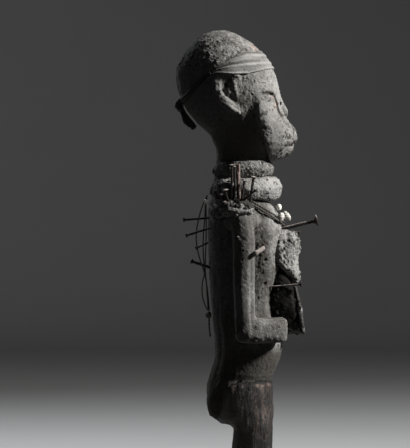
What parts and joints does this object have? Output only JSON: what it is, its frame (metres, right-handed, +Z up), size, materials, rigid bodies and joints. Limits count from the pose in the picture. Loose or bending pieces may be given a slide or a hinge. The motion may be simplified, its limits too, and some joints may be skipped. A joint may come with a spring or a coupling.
{
  "type": "nkisi figure",
  "caption": "Standing carved wooden power figure coated in grey clay, with a cloth headband, neck rolls, medicine packs, iron nails, a necklace and loose back cords, on a low block.",
  "frame": {"origin": "centre of the base block's underside", "axes": "+Z up from the floor to the crown, the figure faces -Y, its right hand is at -X"},
  "size_m": [0.1406, 0.1573, 0.627],
  "materials": {
    "clay_coated_wood": "carved wood under a thin grey clay crust, granular and matt, rubbed smoother on the face",
    "bare_wood": "old dark brown wood, nearly black, with a dull rubbed grain and a reddish tone",
    "caked_cloth": "cloth band stiff with pale grey clay",
    "medicine_clay": "lumpy grey clay and resin, matt",
    "black_resin": "black resin pack with an encrusted front",
    "rusted_iron": "hand-made iron nails, dark with brown rust",
    "plant_fibre": "twisted dark plant-fibre cord",
    "bone": "off-white bone and bead, slightly polished",
    "shell": "worn grey shell and stone beads",
    "peg_wood": "reddish weathered wooden peg"
  },
  "bodies": {
    "root": {"figure": "clay_coated_wood", "headband": "caked_cloth", "headband_knot": "caked_cloth", "neck_roll_upper": "medicine_clay", "neck_roll_lower": "medicine_clay", "shoulder_pack_right": "medicine_clay", "shoulder_pack_left": "medicine_clay", "chest_pack": "medicine_clay", "belly_pack": "black_resin", "belly_pack_cover": "medicine_clay", "necklace_strand_upper": "plant_fibre", "necklace_strand_lower": "plant_fibre", "white_bead": "bone", "grey_bead": "shell", "shell_pendant": "shell", "shoulder_peg": "peg_wood", "bone_pin": "bone", "back_cord_1": "plant_fibre", "back_cord_2": "plant_fibre", "back_cord_3": "plant_fibre", "cord_knot": "plant_fibre", "chest_nail": "rusted_iron", "chest_nail_small": "rusted_iron", "gap_nail": "rusted_iron", "back_nail_1": "rusted_iron", "back_nail_2": "rusted_iron", "back_nail_3": "rusted_iron", "back_nail_4": "rusted_iron", "arm_nail": "rusted_iron", "left_side_nail": "rusted_iron", "shoulder_nail_1": "rusted_iron", "shoulder_nail_2": "rusted_iron", "shoulder_nail_3": "rusted_iron", "shoulder_nail_4": "rusted_iron", "shoulder_nail_5": "rusted_iron", "shoulder_nail_6": "rusted_iron", "shoulder_nail_7": "rusted_iron", "shoulder_cross_nail": "rusted_iron", "left_shoulder_nail_1": "rusted_iron", "left_shoulder_nail_2": "rusted_iron", "left_shoulder_nail_3": "rusted_iron", "armpit_nail_bent": "rusted_iron"}
  },
  "joints": []
}
